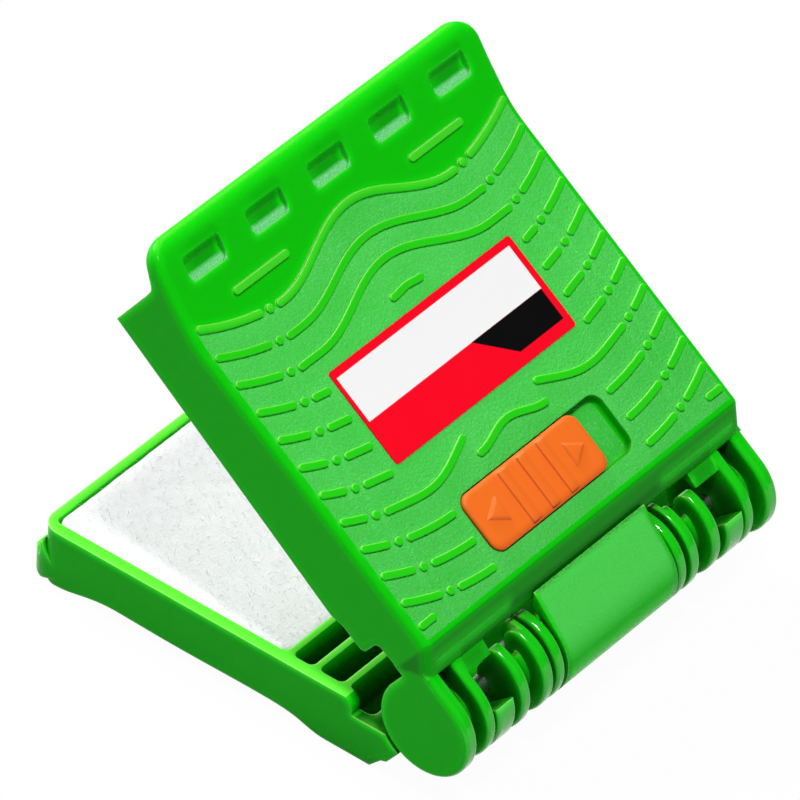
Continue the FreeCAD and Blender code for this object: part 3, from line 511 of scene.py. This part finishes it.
def green_base(plastic):
    """Base: smooth, rim top painted lighter as highlight, hinge barrel's upper flat grained as the lid
    is.
    """
    f = Finish("green_base")
    spot, x, y, z = f.place(0.0, HINGE_AT)
    side, reach, up = abs(x), axis_distance(y, z), f.facing((0, 0, 1))
    rear = y.ramp(*BASE_REAR)

    # The hinge barrel, its upper flat and the round below it, and the gaps beside it; the round gets
    # a painted glow, the gaps painted shade.
    height = y * math.cos(BARREL_LEAN) + z * math.sin(BARREL_LEAN)
    flat = height.ramp(*BARREL_FLAT) * side.ramp(*BARREL_FLAT_SIDE)
    barrel = side.ramp(*BARREL_SIDE) * rear
    lower = height.ramp(*BARREL_LOWER) * reach.ramp(*BARREL_ROUND) * barrel
    gaps = reach.ramp(*GAP_DEPTH) * side.between(*BASE_GAPS, 0.3)

    # The shell: top of its rim and walls of the pad's pocket, painted lighter as highlight; floor at
    # the hinge end and flat sides, painted darker as shade.
    rim = (up > 0.85) * z.between(*BASE_TOP, 0.1) * y.ramp(*BASE_TOP_REAR)
    pocket = z.ramp(*POCKET_LEVEL) * y.ramp(*POCKET_REAR) * side.ramp(*POCKET_SIDE) * (up < 0.5)
    floor = (up > 0.9) * z.ramp(*BASE_FLOOR) * rear
    flank = abs(f.facing((1, 0, 0))).ramp(0.7, 0.95)

    grain = f.noise(spot, MM / plastic.grain_size, 2.0, 0.6)
    colour = f.paint(plastic.green, (
        # The barrel's grained flat, paler as a painted sheen too.
        (flat, plastic.grained),
        # The rim's top painted lighter as highlight.
        (rim * 0.85, plastic.bright),
        # The flat sides painted darker as shade.
        (flank * 0.34, plastic.deep),
        # The hinge's gaps painted darker as shade.
        (gaps * 0.85, plastic.deep),
        # The barrel's lower round painted with a glow, as if lit from below.
        (lower * 0.6, plastic.glow),
        # The floor at the hinge end painted darker as shade.
        (floor * 0.95, plastic.deep),
        # The pad pocket's walls painted lighter, against the shade in them.
        (pocket * 0.6, plastic.bright)))
    gloss = reach.ramp(*BASE_FINS) * side.ramp(*BASE_FINS_SIDE) * (1.0 - flank) * 0.8
    return moulded(f, colour, green_shades(plastic), flat * 0.9, (grain - 0.5) * flat * 0.12,
                   calm=pocket, round_off=barrel, gloss=gloss)


def plain_plastic(name, colour, shades):
    """Smooth moulding in one colour with a faint unevenness, and painted light and shade at its edges.
    """
    f = Finish(name)
    flow = f.noise(f.place()[0], 0.8, 3.0)
    body = f.paint(colour, ((flow.ramp(0.35, 0.65) * 0.3, shades.glow),))
    return moulded(f, body, shades, flow * 0.2, flow * 0.02)


def label_film(plastic, label):
    """Printed film: red border, a white field, a small black one and the rest red."""
    left, right, front, middle, back = -13.4, 13.7, -32.4, -27.1, -23.4
    slant, slant_at, blur = 1.135, -6.5, 0.08
    f = Finish("label_film")
    spot, x, y, _ = f.place(plastic.lid_open, HINGE_AT)
    white = x.between(left, right, blur) * y.between(front, middle, blur)
    past_slant = x + (y - back) * slant - slant_at
    black = x.ramp(left + 0.01, left + 0.09) * y.between(middle, back, blur) * \
        past_slant.ramp(blur / 2, -blur / 2)
    colour = f.paint(label.red, ((white, label.white), (black, label.black)))
    wave = f.noise(spot, 0.25, 1.0)
    return f.surface({"Base Color": colour, "Roughness": 0.32 + wave * 0.08, "IOR": 1.45,
                      "Specular IOR Level": 0.1})


def drawn_steel(name, tint, rough):
    """Steel with fine marks round its length."""
    f = Finish(name)
    streak = f.noise(f.stretched(f.place()[0], (14.0, 1.5, 1.5)), 1.0, 3.0)
    return f.surface({"Base Color": rgba(tint), "Metallic": 1.0,
                      "Roughness": rough + streak * 0.15})


def felt(pads):
    """White felt: two crossing sets of matted fibres as fine relief, with tufts in soft shade."""
    f = Finish("white_felt")
    spot = f.place()[0]
    one_way = f.noise(f.stretched(spot, (1.2, 4.5, 3.0), 0.6), 1.0, 4.0, 0.7)
    other_way = f.noise(f.stretched(spot, (4.5, 1.2, 3.0), -0.8), 1.0, 4.0, 0.7)
    fibres = one_way.math("MAXIMUM", other_way)
    tufts = f.noise(spot, 0.45, 3.0)
    raised = (fibres * 0.5 + tufts * 0.5).ramp(0.35, 0.6)
    colour = f.paint([c * 0.93 for c in pads.white], ((raised, pads.white),))
    return f.surface({"Base Color": colour, "Roughness": 0.95,
                      "Normal": f.bump(fibres * 0.18, 0.6),
                      "Sheen Weight": 0.35, "Sheen Roughness": 0.6})


def foam(pads):
    """Open-cell foam: small pores, painted darker as shade in them."""
    f = Finish("foam")
    cells = f.add("ShaderNodeTexVoronoi", {"feature": "F1"},
                  {"Vector": f.place()[0], "Scale": 2.6})[0]
    walls = cells.ramp(0.15, 0.45)
    colour = f.paint([c * 0.55 for c in pads.foam], ((walls, pads.foam),))
    return f.surface({"Base Color": colour, "Roughness": 0.95,
                      "Normal": f.bump(walls * 0.2, 0.8)})


def wear(name, material):
    """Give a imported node's object one material."""
    node = frame["nodes"][name]
    node.data.materials.clear()
    node.data.materials.append(material)


def placed(name, data, material=None):
    """New object in the scene, its mesh with one material if one is given."""
    if material:
        data.materials.append(material)
    made = bpy.data.objects.new(name, data)
    bpy.context.scene.collection.objects.link(made)
    return made


# ------------------------------------------------------------------ soft pieces
def cad_box(name):
    """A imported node's lowest and highest corners at rest."""
    return [Vector(corner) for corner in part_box(name)]


def closed_box(name):
    """A lid node's box with the lid closed, where the two pads lie flat on each other."""
    turn = Matrix.Rotation(CLOSING, 3, "X")
    spots = [turn @ (v.co - HINGE_AT) + HINGE_AT for v in frame["nodes"][name].data.vertices]
    return [Vector(min(s[i] for s in spots) for i in range(3)),
            Vector(max(s[i] for s in spots) for i in range(3))]


def pad_outline(half, corner, spacing):
    """Rounded rectangle round the origin, as points at about one spacing."""
    points = []
    angles = [math.radians(15 * step) for step in range(7)]
    for side, (sx, sy) in enumerate(((1, 1), (-1, 1), (-1, -1), (1, -1))):
        centre = Vector((sx * (half.x - corner), sy * (half.y - corner)))
        start = math.radians(90 * side)
        turn = [centre + corner * Vector((math.cos(start + a), math.sin(start + a)))
                for a in angles]
        run = (half.x if side % 2 == 0 else half.y) * 2 - 2 * corner
        ahead = Vector((-math.sin(start + math.pi / 2), math.cos(start + math.pi / 2)))
        steps = int(run / spacing)
        points += turn + [turn[-1] + ahead * (run * step / steps) for step in range(1, steps)]
    return points


def pad_mesh(name, low, high, edge, swell, corner):
    """Felt slab between two corners: cushioned edges, flat underside, matted uneven top."""
    levels, rings, spacing = 8, 26, 0.55 * MM
    fine, coarse = 1.1 * MM, 4.5 * MM
    build = bmesh.new()
    middle, half = (high + low) / 2, (high - low) / 2
    outline = pad_outline(half, corner, spacing)

    # Loops round the side from the underside up, then smaller and smaller ones over the top.
    loops = []
    for level in range(levels + 1):
        turn = math.pi * level / levels
        inset = edge * (1 - math.sin(turn))
        height = edge * (1 - math.cos(turn)) - half.z if level <= levels / 2 else \
            half.z - edge * (1 + math.cos(turn))
        loops.append([build.verts.new((p.x * (half.x - inset) / half.x,
                                       p.y * (half.y - inset) / half.y, height))
                      for p in outline])
    for ring in range(1, rings):
        keep = 1 - ring / rings
        loops.append([build.verts.new((v.co.x * keep, v.co.y * keep, half.z))
                      for v in loops[levels]])
    for first, second in zip(loops, loops[1:]):
        for i, (a, d) in enumerate(zip(first, second)):
            after = (i + 1) % len(outline)
            build.faces.new((a, first[after], second[after], d))
    top, under = build.verts.new((0, 0, half.z)), build.verts.new((0, 0, -half.z))
    for i in range(len(outline)):
        after = (i + 1) % len(outline)
        build.faces.new((loops[-1][i], loops[-1][after], top))
        build.faces.new((loops[0][after], loops[0][i], under))

    # Matting only presses the top in, so the slab stays inside its box.
    for v in build.verts:
        if v.co.z > edge - half.z:
            rough = noise.noise(v.co / fine) * 0.5 + noise.noise(v.co / coarse)
            v.co.z += (rough - 1.0) * swell
    mesh = bpy.data.meshes.new(name)
    build.to_mesh(mesh)
    build.free()
    mesh.transform(Matrix.Translation(middle))
    for face in mesh.polygons:
        face.use_smooth = True
    return mesh


def nap_tree(material):
    """Geometry nodes: loose fibres scattered over a felt slab's open side, joined with it."""
    tree = bpy.data.node_groups.new("felt_nap", "GeometryNodeTree")
    face = tree.interface
    face.new_socket("Geometry", in_out="INPUT", socket_type="NodeSocketGeometry")
    inputs = {}
    for label, kind, default in (("Density", "NodeSocketFloat", 2.6e6),
                                 ("Length", "NodeSocketFloat", 0.0006),
                                 ("Thickness", "NodeSocketFloat", 0.00002),
                                 ("Seed", "NodeSocketInt", 1),
                                 ("Open side", "NodeSocketVector", (0.0, 0.0, 1.0))):
        socket = face.new_socket(label, in_out="INPUT", socket_type=kind)
        socket.default_value = default
        inputs[label] = socket.identifier
    face.new_socket("Geometry", in_out="OUTPUT", socket_type="NodeSocketGeometry")

    def node(kind, settings=None, sockets=None):
        """The outputs of a new node."""
        return new_node(tree, kind, settings, sockets).outputs

    given = node("NodeGroupInput")

    # Points on the faces that look to the open side.
    outward = node("ShaderNodeVectorMath", {"operation": "DOT_PRODUCT"}, {
        0: node("GeometryNodeInputNormal")["Normal"], 1: given["Open side"]})
    bare = node("ShaderNodeMath", {"operation": "GREATER_THAN"}, {0: outward["Value"], 1: 0.8})
    scatter = node("GeometryNodeDistributePointsOnFaces", {"distribute_method": "RANDOM"}, {
        "Mesh": given["Geometry"], "Density": given["Density"], "Selection": bare[0],
        "Seed": given["Seed"]})

    # One bent fibre of length 1.
    ratio = node("ShaderNodeMath", {"operation": "DIVIDE"}, {
        0: given["Thickness"], 1: given["Length"]})
    line = node("GeometryNodeCurveQuadraticBezier", None, {
        "Resolution": 3, "Start": (0, 0, 0), "Middle": (0, 0, 0.5), "End": (0.75, 0, 0.75)})
    circle = node("GeometryNodeCurvePrimitiveCircle", None, {
        "Resolution": 3, "Radius": ratio[0]})
    thread = node("GeometryNodeCurveToMesh", None, {
        "Curve": line["Curve"], "Profile Curve": circle["Curve"]})

    # A fibre on each point, leaning and turned at random, of random length.
    spin = node("FunctionNodeRandomValue", {"data_type": "FLOAT_VECTOR"}, {
        0: (-0.9, -0.9, -math.pi), 1: (0.9, 0.9, math.pi), "Seed": given["Seed"]})
    turned = node("FunctionNodeRotateRotation", {"rotation_space": "LOCAL"}, {
        0: scatter["Rotation"], 1: spin[0]})
    grow = node("FunctionNodeRandomValue", {"data_type": "FLOAT"}, {
        2: 0.45, 3: 1.0, "Seed": given["Seed"]})
    length = node("ShaderNodeMath", {"operation": "MULTIPLY"}, {0: grow[1], 1: given["Length"]})
    fibres = node("GeometryNodeInstanceOnPoints", None, {
        "Points": scatter["Points"], "Instance": thread["Mesh"], "Rotation": turned[0],
        "Scale": length[0]})
    whole = node("GeometryNodeRealizeInstances", None, {"Geometry": fibres["Instances"]})
    both = new_node(tree, "GeometryNodeJoinGeometry")
    for part in (given["Geometry"], whole[0]):
        tree.links.new(part, both.inputs[0])
    coat = node("GeometryNodeSetMaterial", None, {"Geometry": both.outputs[0],
                                                  "Material": material})
    node("NodeGroupOutput", None, {0: coat[0]})
    return tree, inputs


def grown(piece, nap, values):
    """Run a node tree on a piece and keep its result as the piece's plain mesh."""
    tree, inputs = nap
    modifier = piece.modifiers.new("nap", "NODES")
    modifier.node_group = tree
    for label, value in values.items():
        modifier[inputs[label]] = value[:] if isinstance(value, Vector) else value
    bpy.context.view_layer.update()
    ready = piece.evaluated_get(bpy.context.evaluated_depsgraph_get())
    mesh = bpy.data.meshes.new_from_object(ready)
    piece.modifiers.remove(modifier)
    piece.data = mesh


# ------------------------------------------------------------------ operators
class CLAMP_OT_shells(Operator):
    """Finish the two half shells, the latch and the button"""
    bl_idname = "clamp.shells"
    bl_label = "Plastic mouldings"

    def execute(self, context):
        plastic = context.scene.clamp_plastic
        # The button's colours for painted glow, highlight and shade on its edges.
        oranges = PaintedEdgeLight(plastic.orange, plastic.orange_glint, plastic.orange_shadowed,
                             plastic.orange_glint)
        wear("lid_shell", green_lid(plastic))
        wear("base_shell", green_base(plastic))
        wear("latch_plate", plain_plastic("green_latch", plastic.green, green_shades(plastic)))
        wear("slide_button", plain_plastic("orange_button", plastic.orange, oranges))
        return {"FINISHED"}


class CLAMP_OT_label(Operator):
    """Print the label's bare fields"""
    bl_idname = "clamp.label"
    bl_label = "Label"

    def execute(self, context):
        wear("label", label_film(context.scene.clamp_plastic, context.scene.clamp_label))
        return {"FINISHED"}


class CLAMP_OT_hinge(Operator):
    """Finish the steel pin and its two springs"""
    bl_idname = "clamp.hinge"
    bl_label = "Pin and springs"

    def execute(self, context):
        hinge = context.scene.clamp_hinge
        wear("hinge_pin", drawn_steel("ground_steel", hinge.pin, rough=0.22))
        wire = drawn_steel("spring_wire", hinge.wire, rough=0.25)
        for name in ("torsion_spring_left", "torsion_spring_right"):
            self.wound(name, wire, hinge.leg)
        return {"FINISHED"}

    def wound(self, name, wire, leg):
        """Spring in drawn steel: a copy of the imported one, put in its place. The real spring twists
        as the lid closes, outer leg on the base and inner leg with the lid; the copy is not made to
        twist."""
        mesh = frame["nodes"][name].data.copy()
        mesh.materials.clear()
        piece = placed(name + "_wound", mesh, wire)
        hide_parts(name)
        low, high = cad_box(name)
        side = math.copysign(1.0, low.x)
        near, far = sorted((abs(low.x), abs(high.x)))
        side * (far - leg)
        side * (near + leg)
        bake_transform(piece)


class CLAMP_OT_pads(Operator):
    """Make the felt pads with their nap and finish the foam behind them"""
    bl_idname = "clamp.pads"
    bl_label = "Pads"

    def execute(self, context):
        pads = context.scene.clamp_pads
        white, cells = felt(pads), foam(pads)
        nap = nap_tree(white)
        self.pad(pads, white, nap, "lower_felt_pad", "base")
        self.pad(pads, white, nap, "upper_felt_pad", "lid")
        for node in ("lower_sponge", "upper_sponge"):
            wear(node, cells)
        return {"FINISHED"}

    def pad(self, pads, white, nap, node, body):
        """One felt pad. The lid's is made level and upside down, then turned open with the lid."""
        upper = body == "lid"
        low, high = closed_box(node) if upper else cad_box(node)
        spread = Vector((pads.spread, pads.spread, 0))
        low, high = low - spread, high + spread
        mesh = pad_mesh(node + "_soft", low, high, pads.edge, pads.swell, pads.corner)
        open_side = Vector((0, 0, 1))
        if upper:
            opening = Matrix.Rotation(-CLOSING, 4, "X")
            mesh.transform(Matrix.Translation((0, 0, low.z + high.z)) @
                           Matrix.Diagonal((1, 1, -1, 1)))
            mesh.flip_normals()
            mesh.transform(Matrix.Translation(HINGE_AT) @ opening @ Matrix.Translation(-HINGE_AT))
            open_side = opening.to_3x3() @ -open_side
        piece = placed(node + "_soft", mesh, white)
        grown(piece, nap, {"Density": pads.nap_count * 1e4, "Length": pads.nap_length,
                           "Thickness": pads.nap_thickness, "Seed": pads.seed + upper,
                           "Open side": open_side})
        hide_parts(node)
        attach(piece, body)


class CLAMP_OT_stage(Operator):
    """Make the floor, the lamps and the camera"""
    bl_idname = "clamp.stage"
    bl_label = "Stage"

    def execute(self, context):
        stage = context.scene.clamp_stage
        self.floor()
        self.world(context, stage)
        self.lamps(stage)
        self.camera(context, stage)
        context.scene.view_settings.view_transform = "Standard"
        return {"FINISHED"}

    def floor(self):
        """Floor that looks white to the camera and in reflections, and keeps the shadow."""
        f = Finish("white_floor")
        rays = f.add("ShaderNodeLightPath")
        camera, glossy, clear = rays[0], rays[3], rays[6]
        seen = (camera + glossy + clear).math("MINIMUM", 1.0)
        matt = f.add("ShaderNodeBsdfDiffuse", None, {"Color": (0.62, 0.62, 0.62, 1)})[0]
        glow = f.add("ShaderNodeEmission", None, {"Color": (1, 1, 1, 1), "Strength": 1.0})[0]
        white = f.output(f.add("ShaderNodeMixShader", None, {0: seen * 0.97, 1: matt, 2: glow})[0])
        reach, drop = 3.0, 0.2 * MM
        mesh = bpy.data.meshes.new("floor")
        mesh.from_pydata([(-reach, -reach, -drop), (reach, -reach, -drop), (reach, reach, -drop),
                          (-reach, reach, -drop)], [], [(0, 1, 2, 3)])
        placed("floor", mesh, white)

    def world(self, context, stage):
        """Even light, with a white background for the camera."""
        world = bpy.data.worlds.new("studio")
        context.scene.world = world
        world.use_nodes = True
        tree = world.node_tree
        tree.nodes.clear()
        rays = new_node(tree, "ShaderNodeLightPath").outputs
        seen = new_node(tree, "ShaderNodeMath", {"operation": "MAXIMUM"}, {
            0: rays["Is Camera Ray"], 1: rays["Is Transmission Ray"]}).outputs[0]
        even, white = (new_node(tree, "ShaderNodeBackground", None, {
            "Color": (1, 1, 1, 1), "Strength": strength}).outputs[0]
            for strength in (stage.fill, 1.0))
        mix = new_node(tree, "ShaderNodeMixShader", None, {0: seen, 1: even, 2: white})
        new_node(tree, "ShaderNodeOutputWorld", None, {"Surface": mix.outputs[0]})

    def lamps(self, stage):
        """Three square lamps that face the aim: their place, size and share of the power."""
        for name, spot, size, power in (("key", (0.12, 0.21, 0.91), 0.14, 11.5),
                                        ("side", (0.75, -0.2, 0.45), 0.5, 0.1),
                                        ("jaw", (-0.15, -0.66, 0.56), 0.3, 13.0)):
            lamp = bpy.data.lights.new(name, "AREA")
            lamp.energy, lamp.size = power * stage.key, size
            holder = placed(name, lamp)
            holder.location = spot
            towards = Vector(stage.aim) - Vector(spot)
            holder.rotation_euler = towards.to_track_quat("-Z", "Y").to_euler()

    def camera(self, context, stage):
        """Camera that looks at the aim from an azimuth and elevation, with a slight roll."""
        view = bpy.data.cameras.new("camera")
        view.lens, view.sensor_width = stage.lens, 36.0
        view.clip_start, view.clip_end = 0.05, 20.0
        a, e = stage.azimuth, stage.elevation
        back = Vector((math.sin(a) * math.cos(e), -math.cos(a) * math.cos(e), math.sin(e)))
        right = Vector((0, 0, 1)).cross(back).normalized()
        turn = Matrix((right, back.cross(right), back)).transposed()
        turn = turn @ Matrix.Rotation(stage.roll, 3, "Z")
        camera = placed("camera", view)
        camera.matrix_world = Matrix.Translation(Vector(stage.aim) + back * stage.distance) @ \
            turn.to_4x4()
        context.scene.camera = camera


class CLAMP_PT_panel(Panel):
    """Lists the clamp's pieces and their settings"""
    bl_label = "Clamp"
    bl_idname = "CLAMP_PT_panel"
    bl_space_type = "VIEW_3D"
    bl_region_type = "UI"
    bl_category = "Clamp"

    def draw(self, context):
        for group, operator in (("clamp_plastic", "clamp.shells"), ("clamp_label", "clamp.label"),
                                ("clamp_hinge", "clamp.hinge"), ("clamp_pads", "clamp.pads"),
                                ("clamp_stage", "clamp.stage")):
            box = self.layout.box()
            box.operator(operator)
            settings = getattr(context.scene, group)
            for name in settings.__annotations__:
                box.prop(settings, name)


# ------------------------------------------------------------------ add-on
GROUPS = {"clamp_plastic": ClampPlastic, "clamp_label": ClampLabel, "clamp_hinge": ClampHinge,
          "clamp_pads": ClampPads, "clamp_stage": ClampStage}
CLASSES = (*GROUPS.values(), CLAMP_OT_shells, CLAMP_OT_label, CLAMP_OT_hinge, CLAMP_OT_pads,
           CLAMP_OT_stage, CLAMP_PT_panel)


def register():
    """Add the classes, and each group of settings to every scene."""
    for cls in CLASSES:
        bpy.utils.register_class(cls)
    for name, group in GROUPS.items():
        setattr(bpy.types.Scene, name, PointerProperty(type=group))


def unregister():
    """Take the settings and the classes away again."""
    for name in GROUPS:
        delattr(bpy.types.Scene, name)
    for cls in reversed(CLASSES):
        bpy.utils.unregister_class(cls)


def main():
    """Finish the part piece by piece."""
    register()
    bpy.ops.clamp.shells()
    bpy.ops.clamp.label()
    bpy.ops.clamp.hinge()
    bpy.ops.clamp.pads()
    bpy.ops.clamp.stage()


if __name__ == "__main__":
    main()
